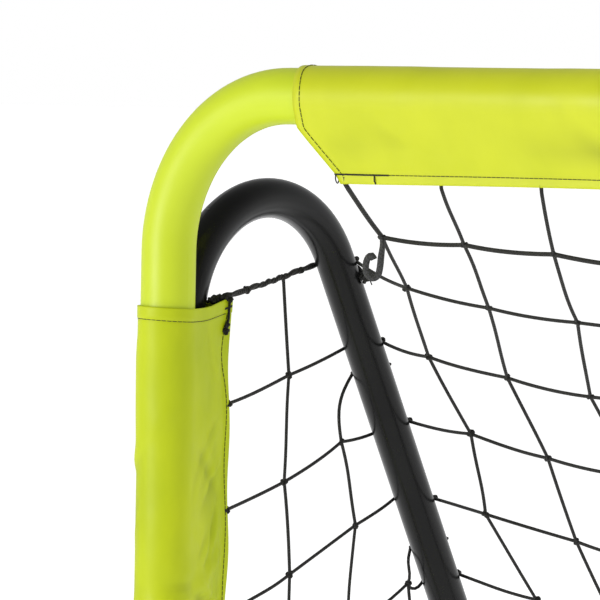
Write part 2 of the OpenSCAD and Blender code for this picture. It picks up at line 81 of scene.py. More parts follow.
# Sleeves. POST_SHEET and CROSS_SHEET are the unrolled widths that the folds are spread over.
WRAP_R = 27.3
LEG_WRAP_R = 22.0
CLOTH_T = 1.1
STRIP_T = 2.7
STRIP_LEN = 9.0
SEAM = np.array([4.5, 79.5])
POST_TOP = -50.0
POST_BOTTOM = -951.0
CROSS_EDGE = 166.0
FLAP_DROP = 75.5
FLAP_RISE = 5.0
FLAP_BACK = 7.0
FLAP_SLANT = 34.0
BAND = 12.0
EDGE_STITCH = 8.0
POST_SHEET = 300.0
POST_COLS = 132
CROSS_SHEET = 260.0
CROSS_COLS = 120
CROSS_ROWS = 300

# Net. Rows and columns are numbered from 0; SEEN_ROWS is the last row in the photograph.
CORD_R = 1.65
BORDER_R = 2.05
LAST_ROW = 14
COLUMNS = 17
SEEN_ROWS = 6
HEM_FIRST = 204.0
HEM_PITCH = 107.5
HEM_EVEN = 3
BACK_FIRST = 98.0
ROW_START = -190.0
ARCH_PITCH = 82.0
ROW_PITCH = 101.0
TIE_START = 2.0
TIE_PITCH = 91.5
SIDE_PITCH = 104.0
SIDE_FIRST = 185.0
SEAM_ROW_TOP = -43.5
SEAM_ROW_PITCH = 99.5
BOTTOM_Z = -1026.0
BORDER_START = np.array([-3.5, 62.0, POST_TOP + 5.0])
BORDER_SEAM = np.array([SEAM[0], SEAM[1] - 2.0, POST_TOP + 9.0])
BORDER_LUMPS = ((0.33, 5.4), (0.66, 4.4), (0.82, 4.6))

# Shading.
WHITE = (1, 1, 1, 1)
EDGE_POWER = 2.8
EDGE_GLOSS = 0.22
# CREASE_SHADE sets the colour of the painted shade in cloth creases, as a share of the dark tone.
CREASE_SHADE = 0.76
WEAVE = 420.0
TWISTS_PER_M = 90.0
STRANDS = 3

post_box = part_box("left_post_tube")
POST = (post_box[0] + post_box[1]) / 2
crossbar_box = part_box("crossbar_tube")
CROSSBAR_Z = (crossbar_box[0].z + crossbar_box[1].z) / 2
rear_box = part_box("rear_bar_tube")
REAR = (rear_box[0] + rear_box[1]) / 2
ORIGIN = np.array([POST.x, POST.y, CROSSBAR_Z - CORNER_R * MM])
SPAN = -2 * POST.x / MM


def place(points, side=LEFT):
    """Local millimetres to metres in the row frame."""
    p = np.asarray(points, float) * MM + ORIGIN
    if side == RIGHT:
        p[..., 0] *= -1
    return p


def local(point):
    """A row-frame point in local millimetres of the left side."""
    return (np.array(point) - ORIGIN) / MM


REAR_BAR = local(REAR)
DOWN = np.array([0, math.sin(ARM_SLOPE), -math.cos(ARM_SLOPE)])
OUT = np.array([0, math.cos(ARM_SLOPE), math.sin(ARM_SLOPE)])
ARCH = np.array([ARM_X, LEG_BACK + ARCH_R, ARCH_Z])
RUN_START = ARCH + ARCH_R * OUT
ARM_RUN = (REAR_BAR[1] - RUN_START[1]) / DOWN[1]


# ---------- mesh helpers ----------


def add_object(name, data):
    """A new object in the scene."""
    obj = bpy.data.objects.new(name, data)
    bpy.context.scene.collection.objects.link(obj)
    return obj


class Builder:
    """Collects quads and triangles with a UV at each corner, for one mesh."""

    def __init__(self):
        self.verts, self.faces, self.uvs, self.count = [], [], [], 0

    def add(self, verts, faces, uvs):
        self.verts.append(np.asarray(verts, float))
        self.faces += (np.asarray(faces) + self.count).tolist()
        self.uvs.append(np.asarray(uvs, float).reshape(-1, 2))
        self.count += len(verts)

    def make(self, name, material):
        mesh = bpy.data.meshes.new(name)
        mesh.from_pydata(np.concatenate(self.verts).tolist(), [], self.faces)
        layer = mesh.uv_layers.new(name="UVMap")
        layer.data.foreach_set("uv", np.concatenate(self.uvs).ravel())
        mesh.materials.append(material)
        mesh.polygons.foreach_set("use_smooth", [True] * len(mesh.polygons))
        obj = add_object(name, mesh)
        return obj


def unit(v):
    """Directions of length one."""
    return v / np.linalg.norm(v, axis=-1, keepdims=True)


def resample(points, step, count=None):
    """Points spaced evenly by length along a path."""
    p = np.asarray(points, float)
    gaps = np.linalg.norm(np.diff(p, axis=0), axis=1)
    keep = np.concatenate([[True], gaps > 1e-9])
    p, gaps = p[keep], gaps[keep[1:]]
    at = np.concatenate([[0], np.cumsum(gaps)])
    n = count or max(3, int(round(at[-1] / step)) + 1)
    want = np.linspace(0, at[-1], n)
    return np.stack([np.interp(want, at, p[:, k]) for k in range(p.shape[1])], 1)


def curve(points, step):
    """A smooth path through control points."""
    p = np.asarray(points, float)
    p = np.concatenate([[2 * p[0] - p[1]], p, [2 * p[-1] - p[-2]]])
    t = np.linspace(0, 1, 9)[:-1, None]
    out = []
    for a, b, c, d in zip(p, p[1:], p[2:], p[3:]):
        bend = (2 * a - 5 * b + 4 * c - d) * t**2 + (3 * b - a - 3 * c + d) * t**3
        out.append(0.5 * (2 * b + (c - a) * t + bend))
    out.append(p[-2:-1])
    return resample(np.concatenate(out), step)


def rings(path, closed):
    """Two unit vectors across a path at each of its points, carried along without twist."""
    if closed:
        tangent = unit(np.roll(path, -1, 0) - np.roll(path, 1, 0))
    else:
        tangent = unit(np.gradient(path, axis=0))
    first = np.cross(tangent[0], [0.31, 0.22, 0.92])
    normal = [first / np.linalg.norm(first)]
    for t in tangent[1:]:
        n = normal[-1] - t * (normal[-1] @ t)
        normal.append(n / np.linalg.norm(n))
    normal = np.array(normal)
    side = np.cross(tangent, normal)
    if closed:
        back = normal[-1] - tangent[0] * (normal[-1] @ tangent[0])
        turn = math.atan2(back @ side[0], back @ normal[0])
        a = -np.linspace(0, turn, len(path))[:, None]
        return normal * np.cos(a) + side * np.sin(a), side * np.cos(a) - normal * np.sin(a)
    return normal, side


def sweep(builder, path, radius, sides=8, closed=False):
    """Adds a round cord along a path in metres. UVs run round it and along it in metres."""
    path = np.asarray(path, float)
    count = len(path)
    normal, side = rings(path, closed)
    r = np.broadcast_to(np.asarray(radius, float) * MM, (count,))[:, None, None]
    a = np.linspace(0, 2 * math.pi, sides, endpoint=False)[None, :, None]
    ring = normal[:, None] * np.cos(a) + side[:, None] * np.sin(a)
    verts = (path[:, None] + r * ring).reshape(-1, 3)
    rows = np.arange(count if closed else count - 1)[:, None]
    cols = np.arange(sides)[None, :]
    nxt, wrap = (rows + 1) % count, (cols + 1) % sides
    quads = [rows * sides + cols, rows * sides + wrap, nxt * sides + wrap, nxt * sides + cols]
    gaps = np.linalg.norm(np.diff(path, axis=0, append=path[:1]), axis=1)
    at = np.concatenate([[0], np.cumsum(gaps)])
    corners = [(rows, cols), (rows, cols + 1), (rows + 1, cols + 1), (rows + 1, cols)]
    uvs = [np.stack([(c + 0 * r) / sides, at[r] + 0 * c], -1) for r, c in corners]
    builder.add(verts, np.stack(quads, -1).reshape(-1, 4), np.stack(uvs, 2))
    if not closed:
        cap(builder, path[0], verts[:sides], True)
        cap(builder, path[-1], verts[-sides:], False)


def cap(builder, centre, ring, start):
    """A low dome of triangles over the end of a cord."""
    n = len(ring)
    k = np.arange(n)
    order = [np.full(n, n), (k + 1) % n, k] if start else [np.full(n, n), k, (k + 1) % n]
    builder.add(np.vstack([ring, centre]), np.stack(order, 1), np.zeros((3 * n, 2)))


def knot(builder, at, radius, cord, rng, side=LEFT, points=18):
    """A small tight knot, as a closed three-lobed loop of cord."""
    t = np.linspace(0, 2 * math.pi, points, endpoint=False)
    loop = [np.sin(t) + 2 * np.sin(2 * t), np.cos(t) - 2 * np.cos(2 * t), -np.sin(3 * t)]
    turn = Matrix.Rotation(rng.uniform(0, 6.28), 3, Vector(rng.normal(size=3)).normalized())
    loop = np.stack(loop, 1) * (radius - cord) / 3 @ np.array(turn)
    sweep(builder, place(np.asarray(at) + loop, side), cord, 6, True)


def strand(a, b, sag, bow, rng):
    """A slack length of cord from a to b: it sags, bows to one side and wanders a little."""
    t = np.linspace(0, 1, 13)[:, None]
    along = unit(b - a)
    across = np.cross(along, [0.0, 0.0, 1.0])
    across = across / max(np.linalg.norm(across), 0.2)
    low = np.array([0.0, 0.0, -1.0]) + along * along[2]
    hump = 4 * t * (1 - t)
    wave = np.sin(2 * math.pi * t) * rng.normal(0, 0.35 * bow)
    return a * (1 - t) + b * t + hump * low * sag + (hump * rng.normal(0, bow) + wave) * across


# ---------- materials ----------


def setup(tree, n, **values):
    """Sets a node's named inputs, from sockets or plain values, and its properties."""
    for key, value in values.items():
        socket = n.inputs.get(key.replace("_", " "))
        if socket is None:
            setattr(n, key.lower(), value)
        elif isinstance(value, bpy.types.NodeSocket):
            tree.links.new(value, socket)
        else:
            socket.default_value = value
    return n


def node(tree, kind, **values):
    """A new shader node, set up."""
    return setup(tree, tree.nodes.new("ShaderNode" + kind), **values)


def calc(tree, operation, *values):
    """The result of a sum on sockets or numbers."""
    n = node(tree, "Math", Operation=operation)
    for value, socket in zip(values, n.inputs):
        if isinstance(value, bpy.types.NodeSocket):
            tree.links.new(value, socket)
        else:
            socket.default_value = value
    return n.outputs[0]


def mix_shaders(tree, share, first, second):
    """One shader fading into another as a 0..1 value grows."""
    n = node(tree, "MixShader", Fac=share)
    tree.links.new(first.outputs[0], n.inputs[1])
    tree.links.new(second.outputs[0], n.inputs[2])
    return n.outputs[0]


def noise(tree, where, scale, detail=3.0, stretch=(1, 1, 1)):
    """A noise texture in metres, stretched along the axes."""
    mapping = node(tree, "Mapping", Vector=where, Scale=stretch)
    return node(tree, "TexNoise", Vector=mapping.outputs[0], Scale=scale, Detail=detail).outputs["Fac"]


def map_range(tree, value, source, target):
    """A value spread from one range over another."""
    ends = dict(From_Min=source[0], From_Max=source[1], To_Min=target[0], To_Max=target[1])
    return node(tree, "MapRange", Value=value, **ends).outputs["Result"]


def remap(tree, value, low, high):
    """A 0..1 noise value spread over low..high."""
    return map_range(tree, value, (0.25, 0.75), (low, high))


def bump(tree, height, strength, distance, before=None):
    """A normal tilted by a height, on top of an earlier one."""
    n = node(tree, "Bump", Height=height, Strength=strength, Distance=distance)
    if before is not None:
        tree.links.new(before, n.inputs["Normal"])
    return n.outputs["Normal"]


def two_tone(tree, fac, dark, light):
    """A colour between two tones, by a 0..1 value."""
    ramp = node(tree, "ValToRGB", Fac=fac)
    for element, at, tone in zip(ramp.color_ramp.elements, (0.3, 0.7), (dark, light)):
        element.position = at
        element.color = (*tone, 1)
    return ramp.outputs["Color"]


def start_material(name):
    """A node material with a linked Principled shader, its tree and its texture coordinates."""
    mat = bpy.data.materials.new(name)
    mat.use_nodes = True
    tree = mat.node_tree
    tree.nodes.clear()
    shader = node(tree, "BsdfPrincipled")
    node(tree, "OutputMaterial", Surface=shader.outputs["BSDF"])
    return mat, tree, shader, node(tree, "TexCoord").outputs


def lime_paint():
    """Satin powder coat: fine orange peel, faint cloudiness and a clear top."""
    mat, tree, shader, coords = start_material("lime_powder_coat")
    where = coords["Object"]
    tones = (0.575, 0.700, 0.007), (0.610, 0.735, 0.010)
    setup(
        tree,
        shader,
        Base_Color=two_tone(tree, noise(tree, where, 9, 4), *tones),
        Roughness=remap(tree, noise(tree, where, 60, 3), 0.42, 0.5),
        Coat_Weight=0.2,
        Coat_Roughness=0.42,
        Normal=bump(tree, noise(tree, where, 420, 2), 0.12, 0.0004),
    )
    return mat


def black_paint():
    """Gloss black with a soft, slightly wavy reflection that grows towards the edges."""
    mat, tree, shader, coords = start_material("black_gloss_coat")
    where = coords["Object"]
    tones = (0.004, 0.004, 0.0044), (0.007, 0.0073, 0.0073)
    wavy = bump(tree, noise(tree, where, 26, 1.5, (1, 0.3, 0.3)), 0.22, 0.004)
    normal = bump(tree, noise(tree, where, 300, 2), 0.05, 0.0003, wavy)
    setup(
        tree,
        shader,
        Base_Color=two_tone(tree, noise(tree, where, 14, 3), *tones),
        IOR=1.31,
        Roughness=remap(tree, noise(tree, where, 35, 3), 0.2, 0.28),
        Normal=normal,
    )
    gloss = node(tree, "BsdfGlossy", Color=(0.92, 0.93, 0.95, 1), Roughness=0.29, Normal=normal)
    facing = node(tree, "LayerWeight", Blend=0.5, Normal=normal).outputs["Facing"]
    share = calc(tree, "MULTIPLY", calc(tree, "POWER", facing, EDGE_POWER), EDGE_GLOSS)
    setup(tree, tree.nodes["Material Output"], Surface=mix_shaders(tree, share, shader, gloss))
    return mat


def coated_cloth(name, dark, light, rough, shine, crease):
    """Lime coated cloth: faint weave through the coating, cloudy marks, and painted shade that darkens
    the creases.
    """
    mat, tree, shader, coords = start_material(name)
    where = coords["Object"]
    # Painted shade: the colour darkens towards a deeper tone where the crease attribute marks a fold.
    colour = node(tree, "Mix", Data_Type="RGBA")
    deep = node(tree, "Attribute", Attribute_Name="crease").outputs["Fac"]
    tree.links.new(deep, colour.inputs["Factor"])
    tree.links.new(two_tone(tree, noise(tree, where, 16, 4, (1, 1, 0.45)), dark, light), colour.inputs[6])
    colour.inputs[7].default_value = (*(CREASE_SHADE * c for c in dark), 1)
    threads = [
        node(tree, "TexWave", Vector=coords["UV"], Scale=WEAVE, Distortion=0.6, Bands_Direction=axis)
        for axis in "XY"
    ]
    weave = calc(tree, "MULTIPLY", *(n.outputs["Fac"] for n in threads))
    soft = bump(tree, noise(tree, where, 55, 3), 0.10, 0.0015, bump(tree, weave, 0.05, 0.0003))
    folds = node(tree, "TexNoise", Vector=where, Noise_Type="RIDGED_MULTIFRACTAL", Scale=9.0, Detail=1.5)
    setup(
        tree,
        shader,
        Base_Color=colour.outputs[2],
        Roughness=remap(tree, noise(tree, where, 45, 4), rough - 0.07, rough + 0.07),
        Specular_IOR_Level=0.3 + shine,
        Coat_Weight=shine,
        Coat_Roughness=0.32,
        Normal=bump(tree, folds.outputs["Fac"], crease, 0.012, soft),
    )
    return mat


def cord_material(name, dark, light, rough):
    """Twisted cord: slanting strands round and along it, dry and a little dusty."""
    mat, tree, shader, coords = start_material(name)
    split = node(tree, "SeparateXYZ", Vector=coords["UV"]).outputs
    turns = calc(tree, "MULTIPLY_ADD", split["Y"], TWISTS_PER_M, split["X"])
    wave = calc(tree, "SINE", calc(tree, "MULTIPLY", turns, STRANDS * 2 * math.pi))
    fuzz = noise(tree, coords["Object"], 700, 3)
    setup(
        tree,
        shader,
        Base_Color=two_tone(tree, fuzz, dark, light),
        Roughness=rough,
        Sheen_Weight=0.06,
        Specular_IOR_Level=0.35,
        Normal=bump(tree, fuzz, 0.3, 0.0003, bump(tree, wave, 0.5, 0.0004)),
    )
    return mat


def metal(name, dark, light, rough, brushed):
    """Plated or brushed steel, with streaks along one axis."""
    mat, tree, shader, coords = start_material(name)
    streak = noise(tree, coords["Object"], 160, 3, brushed)
    setup(
        tree,
        shader,
        Base_Color=two_tone(tree, noise(tree, coords["Object"], 30, 4), dark, light),
        Metallic=1.0,
        Roughness=remap(tree, streak, rough - 0.08, rough + 0.1),
        Normal=bump(tree, streak, 0.08, 0.0003),
    )
    return mat


def moulded(name, dark, light, rough, grain):
    """Moulded plastic or rubber with a fine grain."""
    mat, tree, shader, coords = start_material(name)
    where = coords["Object"]
    setup(
        tree,
        shader,
        Base_Color=two_tone(tree, noise(tree, where, 18, 4), dark, light),
        Roughness=remap(tree, noise(tree, where, 90, 3), rough - 0.06, rough + 0.06),
        Normal=bump(tree, noise(tree, where, grain, 2), 0.2, 0.0004),
    )
    return mat


CROSS_CLOTH = coated_cloth("lime_coated_cloth", (0.56, 0.62, 0.007), (0.63, 0.685, 0.012), 0.43, 0.1, 0.1)
# A darker copy of the crossbar cloth for the post sleeves: its lower tones are painted shade.
POST_CLOTH_PAINTED_SHADE = coated_cloth("lime_post_cloth_painted_shade", (0.45, 0.545, 0.002), (0.57, 0.66, 0.004), 0.5, 0.02, 0.5)
NET_CORD = cord_material("black_cord", (0.006, 0.006, 0.006), (0.022, 0.021, 0.020), 0.62)
# A lighter grey copy of the black cord for the corner tails: the lightness is a painted highlight.
TAIL_CORD_PAINTED_HIGHLIGHT = cord_material("tail_cord_painted_highlight", (0.02, 0.02, 0.021), (0.075, 0.075, 0.078), 0.7)
THREAD = cord_material("stitch_thread", (0.035, 0.042, 0.006), (0.075, 0.085, 0.012), 0.6)
MATERIALS = {
    "lime_frame": lime_paint(),
    "black_frame": black_paint(),
    "bare_steel": metal("plated_steel", (0.42, 0.42, 0.43), (0.55, 0.55, 0.56), 0.34, (1, 1, 0.1)),
    "zinc": metal("zinc_plate", (0.5, 0.5, 0.51), (0.66, 0.66, 0.67), 0.28, (1, 1, 1)),
    "nylon": moulded("nylon", (0.68, 0.67, 0.62), (0.76, 0.75, 0.7), 0.45, 500),
    "black_plastic": moulded("black_plastic", (0.012, 0.012, 0.013), (0.02, 0.02, 0.021), 0.42, 450),
    "black_rubber": moulded("black_rubber", (0.014, 0.014, 0.015), (0.024, 0.024, 0.025), 0.62, 260),
    "lime_sleeve": CROSS_CLOTH,
    "net_cord": NET_CORD,
}

for part in frame["record"]["subparts"]:
    cad = frame["nodes"][part["node"]]
    cad.data.materials.clear()
    cad.data.materials.append(MATERIALS[part["material_slot"]])


# ---------- cloth sleeves ----------


def hull(points):
    """Convex outline of flat points, anticlockwise."""
    pts = sorted(map(tuple, np.round(points, 6)))

    def chain(seq):
        out = []
        for p in seq:
            while len(out) > 1:
                (ax, ay), (bx, by) = out[-2], out[-1]
                if (bx - ax) * (p[1] - ay) - (by - ay) * (p[0] - ax) > 0:
                    break
                out.pop()
            out.append(p)
        return out[:-1]

    return np.array(chain(pts) + chain(pts[::-1]))


def circle(centre, radius, count=120):
    """Flat points round a circle."""
    a = np.linspace(0, 2 * math.pi, count, endpoint=False)
    return np.asarray(centre) + radius * np.stack([np.cos(a), np.sin(a)], 1)


def wrap_section(circles, tip, count):
    """Outline of a sheet wrapped round circles and sewn into a flat strip that ends at tip.

    It starts at one corner of the tip and goes anticlockwise to the other."""
    middle = circles[0][0]
    away = unit(np.asarray(tip, float) - middle)
    across = np.array([away[1], -away[0]])
    base = tip - STRIP_LEN * away
    half = across * STRIP_T / 2
    cloud = [circle(c, r) for c, r in circles] + [[base + half, base - half]]
    outline = hull(np.concatenate(cloud))
    near = np.argmin(np.linalg.norm(outline - (base - half), axis=1))
    outline = np.roll(outline, -near, axis=0)
    path = np.concatenate([[tip - half], outline, [tip + half]])
    return resample(path, 1, count)


def creases(u, v, rng, count, spans, width, depth, lean):
    """Soft folds over a sheet: each is a long shallow groove or ridge, leaning one way."""
    total = np.zeros(np.broadcast(u, v).shape)
    for _ in range(count):
        cu, cv = rng.uniform(*spans[0]), rng.uniform(*spans[1])
        a = rng.normal(lean, 0.35)
        across = (u - cu) * math.cos(a) - (v - cv) * math.sin(a)
        along = (u - cu) * math.sin(a) + (v - cv) * math.cos(a)
        w, length = rng.uniform(0.6, 1.4) * width, rng.uniform(3, 7) * width
        fold = np.exp(-((across / w) ** 2)) - 0.55 * np.exp(-(((across - 1.6 * w) / w) ** 2))
        height = rng.choice([-1, 1]) * rng.uniform(0.4, 1) * depth
        total += height * fold * np.exp(-((along / length) ** 2))
    return total


def pull_folds(u, v, rng):
    """Uneven grooves that slant away from the places where the net pulls on the sewn edge."""
    total = np.zeros(np.broadcast(u, v).shape)
    for face in (0.0, POST_SHEET):
        inward = abs(u - face)
        for row in range(-1, 9):
            for slant in (-1, 1):
                z = v - SEAM_ROW_TOP + SEAM_ROW_PITCH * (row + 1) + rng.normal(0, 12)
                a = rng.uniform(0.4, 0.95)
                run = inward * math.cos(a) + z * slant * math.sin(a)
                across = inward * math.sin(a) - z * slant * math.cos(a)
                across = across + rng.normal(0, 9) * (run / 70) ** 2
                w = rng.uniform(1.8, 4.4) + 0.05 * np.clip(run, 0, 80)
                fade = np.exp(-((np.clip(run, 0, None) / rng.uniform(70, 130)) ** 3))
                reach = np.clip(run / 14, 0, 1) * fade
                groove = -np.exp(-((across / w) ** 2)) + 0.6 * np.exp(-(((across + 1.9 * w) / w) ** 2))
                total += 3.9 * rng.uniform(0.3, 1) ** 1.2 * groove * reach
    return total


def swell(u, v, rng, wave, depth):
    """Slow uneven bulging."""
    total = 0
    for _ in range(7):
        k = rng.normal(size=2)
        k = k / np.linalg.norm(k) * rng.uniform(0.5, 1.5) / wave
        total = total + np.sin(2 * math.pi * (k[0] * u + k[1] * v) + rng.uniform(0, 6.28))
    return total * depth / 7**0.5


def normals_2d(outline):
    """Outward directions of an anticlockwise outline in its own plane."""
    step = np.roll(outline, -1, 0) - np.roll(outline, 1, 0)
    return unit(np.stack([step[:, 1], -step[:, 0]], 1))


def sheet(builder, grid, flip):
    """A surface over a grid of points whose second index goes all the way round."""
    rows, cols = grid.shape[:2]
    a = np.arange(rows - 1)[:, None]
    b = np.arange(cols)[None, :]
    wrap = (b + 1) % cols
    quads = np.stack([a * cols + b, a * cols + wrap, (a + 1) * cols + wrap, (a + 1) * cols + b], -1)
    along = np.linalg.norm(np.diff(grid, axis=0), axis=2).mean(1)
    v = np.concatenate([[0], np.cumsum(along)])
    u = np.linspace(0, np.linalg.norm(np.diff(grid[0], axis=0), axis=1).sum(), cols + 1)
    corners = [(a, b), (a, b + 1), (a + 1, b + 1), (a + 1, b)]
    uvs = np.stack([np.stack([u[j + 0 * i], v[i + 0 * j]], -1) for i, j in corners], 2)
    quads, uvs = quads.reshape(-1, 4), uvs.reshape(-1, 4, 2)
    if flip:
        quads, uvs = quads[:, ::-1], uvs[:, ::-1]
    builder.add(grid.reshape(-1, 3), quads, uvs)


def store_painted_crease_shade(obj, lift):
    """Stores how far into a fold each point lies, for the cloth material to darken there as painted
    shade.
    """
    layer = obj.data.attributes.new("crease", "FLOAT", "POINT")
    layer.data.foreach_set("value", np.clip(-lift / 3.0 - 0.12, 0, 1).ravel())


def thicken(obj):
    """Gives a sheet the thickness of the cloth, inwards."""
    solid = obj.modifiers.new("cloth", "SOLIDIFY")
    solid.thickness = CLOTH_T * MM
    solid.offset = -1


def stitches(builder, path, radius=0.38, long=4.5, gap=0.5):
    """A row of thread stitches along a path in metres."""
    path = resample(path, 0.5 * MM)
    step = int(round((long + gap) / 0.5))
    span = int(round(long / 0.5))
    for i in range(0, len(path) - span, step):
        sweep(builder, path[i : i + span + 1 : 2], radius, 5)


def post_rows():
    """Heights of the rows of a post sleeve, close together at the top hem."""
    hem = POST_TOP - np.array([0, 1.5, 4, 8, 11, BAND, 13, 16, 20])
    rest = np.linspace(hem[-1], POST_BOTTOM + 20, 200)[1:]
    foot = POST_BOTTOM + np.array([16, 13, BAND, 11, 8, 4, 1.5, 0])
    return np.concatenate([hem, rest, foot])


def seam_tip(z):
    """The sewn edge of a post sleeve, which wanders in and out on its way down."""
    return SEAM + np.array([0.0, 1.6 * math.sin(z / 19 + 3.9) + 1.1 * math.sin(z / 43 + 1.2)])


def post_sleeve_grid(rng):
    """Points of the left post sleeve as rows from the top down, the directions out of the sheet,
    and how far its folds lift it."""
    heights = post_rows()
    rows = []
    for z in heights:
        # Under the hinge there is no arm leg inside, so the sheet falls flatter.
        t = np.clip((HINGE_Z + 20 - z) / 160, 0, 1)
        fall = t * t * (3 - 2 * t)
        leg_at = np.array([ARM_X, LEG_BACK]) * (1 - fall) + np.array([-9.0, 44.0]) * fall
        leg_r = LEG_WRAP_R * (1 - fall) + 9.0 * fall
        rows.append(wrap_section([((0, 0), WRAP_R), (leg_at, leg_r)], seam_tip(z), POST_COLS))
    section = np.array(rows)
    out = np.array([normals_2d(r) for r in section])
    u = np.linspace(0, POST_SHEET, POST_COLS)[None, :]
    v = heights[:, None]
    from_seam = np.minimum(u, POST_SHEET - u)
    from_hem = np.minimum(POST_TOP - v, v - POST_BOTTOM)
    free = np.clip((np.linalg.norm(section, axis=2) - WRAP_R) / 9, 0, 1)
    depth = (0.7 + 0.3 * free) * np.clip(from_seam / 22 - 0.45, 0, 1)
    loose = swell(u, v, rng, 190, 1.7)
    loose = loose + creases(u, v, rng, 70, ((0, POST_SHEET), (-960, -60)), 5.5, 3.1, 0.75)
    pulled = pull_folds(u, v, rng) * np.clip(from_hem / 20 - 0.6, 0, 1)
    folds = (loose * np.clip(from_hem / 60, 0.25, 1) + pulled) * depth
    lift = folds + 0.55 * (from_hem < BAND - 0.5) - 0.35 * (abs(from_hem - BAND) < 0.4)
    # The sheet may sink further where it is clear of the tubes and faces away from the leg.
    lift = np.maximum(lift, -0.9 - 2.2 * free * (out[..., 0] > 0))
    section = section + out * lift[..., None]
    wavy = 1.2 * np.sin(2 * math.pi * u / 150 + 1.1) * (from_hem < 25)
    peak = 4.0 * np.exp(-((from_seam / 30) ** 2)) * np.clip(1 - (POST_TOP - v) / 30, 0, 1)
    z = v + wavy + peak
    return np.dstack([section, z]), np.dstack([out, 0 * z]), folds


def post_sleeve(side, name, cad, seed):
    """One post sleeve with its stitching and lacing, in place of its CAD solid."""
    rng = np.random.default_rng(seed)
    grid, out, folds = post_sleeve_grid(rng)
    builder = Builder()
    sheet(builder, place(grid, side)[::-1], side == RIGHT)
    obj = builder.make(name, POST_CLOTH_PAINTED_SHADE)
    # Painted shade in the folds, stored for the cloth material.
    store_painted_crease_shade(obj, folds[::-1])
    thicken(obj)
    thread = Builder()
    heights = post_rows()
    raised = grid + 0.3 * out
    for level in (POST_TOP - BAND, POST_BOTTOM + BAND):
        row = int(np.argmin(abs(heights - level)))
        stitches(thread, place(raised[row, 3:-3], side))
    for sign in (-1, 1):
        stitches(thread, place(seam_line(raised, sign), side))
    line = thread.make(name + "_stitching", THREAD)
    lacing = Builder()
    seam_lacing(lacing, side, rng)
    lace = lacing.make(name + "_lacing", NET_CORD)
    start, end = place([[0, 35, -115], [0, 85, -55]], side)
    for piece in (obj, line, lace):
        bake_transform(piece)
    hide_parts(cad)


def seam_line(grid, sign):
    """The line of stitching beside the sewn edge, on one face. It nears the edge as it goes down."""
    rows = grid[6:-6]
    size = np.linalg.norm(np.diff(rows, axis=1), axis=2).mean()
    z = rows[:, 0, 2]
    inset = 4.6 + 1.3 * np.sin(z / 17) + 3.6 * np.exp(-(((z - POST_TOP + 45) / 26) ** 2))
    at = inset / size if sign > 0 else rows.shape[1] - 1 - inset / size
    low = np.floor(at).astype(int)
    f = (at - low)[:, None]
    k = np.arange(len(rows))
    return rows[k, low] * (1 - f) + rows[k, low + 1] * f


def seam_lacing(builder, side, rng):
    """Cord lashed to the sewn strip of a post sleeve: a run down its face from the top hem, and a
    few turns at its foot."""
    away = np.array([SEAM[0], SEAM[1], 0]) / np.linalg.norm(SEAM)
    across = np.array([away[1], -away[0], 0])
    edge = np.array([*SEAM, 0])

    def at(inset, face, z):
        return edge - inset * away + face * across + np.array([0, 0, z])

    face = 0.5 * STRIP_T + 1.3
    run = [at(3.0, 0, POST_TOP + 9), at(3.4, face, POST_TOP + 3), at(4.0, face, POST_TOP - 8)]
    run += [at(4.4, face, POST_TOP - 14), at(6.8, face, POST_TOP - 20), at(8.4, face, POST_TOP - 26)]
    sweep(builder, place(curve(run, 1.6), side), 1.25, 7)
    for z, inset, size in ((4, 3.4, 4.0), (-20, 7.0, 3.8), (-25, 8.2, 4.2)):
        knot(builder, at(inset, face + 0.6, POST_TOP + z), size, 1.25, rng, side)
    for start, turns, pitch in ((POST_TOP - 1, 1, 9.0), (POST_BOTTOM + 22, 3, 6.5)):
        lacing_turns(builder, at, start, turns, pitch, side)


def lacing_turns(builder, at, start, turns, pitch, side):
    """Turns of cord round the sewn strip, going down."""
    points = []
    for k in range(10 * turns + 1):
        a = k * math.pi / 5
        inset = 0.5 * STRIP_LEN - (0.5 * STRIP_LEN + 1.4) * math.cos(a)
        points.append(at(inset, (0.5 * STRIP_T + 1.2) * math.sin(a), start - pitch * k / 10))
    sweep(builder, place(curve(points, 1.6), side), 1.0, 6)


def crossbar_grid(rng):
    """Points of the crossbar sleeve, the directions out of it and how far its folds lift it. Also
    its flat sideways places and how far each column reaches from the middle."""
    section = wrap_section([((0, 0), WRAP_R)], np.array([FLAP_BACK, -FLAP_DROP]), CROSS_COLS)
    out = normals_2d(section)
    facing = unit(section)
    front, top = np.clip(-facing[:, 0], 0, 1), np.clip(facing[:, 1], 0, 1)
    drop = np.clip((-section[:, 1] - WRAP_R) / (FLAP_DROP - WRAP_R), 0, 1)
    edge = SPAN / 2 - CROSS_EDGE - FLAP_SLANT * drop - 5.0 * front**2 + 4.0 * top**2
    even = np.linspace(-1, 1, CROSS_ROWS)
    x = (np.sign(even) * abs(even) ** 0.93)[:, None] * edge[None, :]
    from_end = edge[None, :] - abs(x)
    u = np.linspace(0, CROSS_SHEET, CROSS_COLS)[None, :]
    free = np.clip((np.hypot(section[:, 0], section[:, 1]) - WRAP_R) / 16, 0, 1)[None, :]
    strip = np.clip(np.minimum(u, CROSS_SHEET - u) / 24 - 0.4, 0, 1)
    folds = swell(x, u, rng, 260, 1.1)
    folds = folds + creases(x, u, rng, 44, ((-780, 780), (0, CROSS_SHEET)), 13, 1.7, 1.2)
    folds = folds * (0.22 + 0.78 * free) * strip * np.clip(from_end / 70, 0.12, 1)
    lift = np.maximum(folds, -0.8 - 2.5 * free) + 0.3 * (from_end < EDGE_STITCH - 1)
    yz = section[None] + out[None] * lift[..., None]
    yz[..., 1] += FLAP_RISE * (1 - np.exp(-((from_end / 190) ** 1.5))) * drop[None, :]
    grid = np.stack([x + SPAN / 2, yz[..., 0], yz[..., 1] + CORNER_R], 2)
    normal = np.dstack([0 * x, np.repeat(out[None], CROSS_ROWS, 0)])
    return grid, normal, folds, x, edge


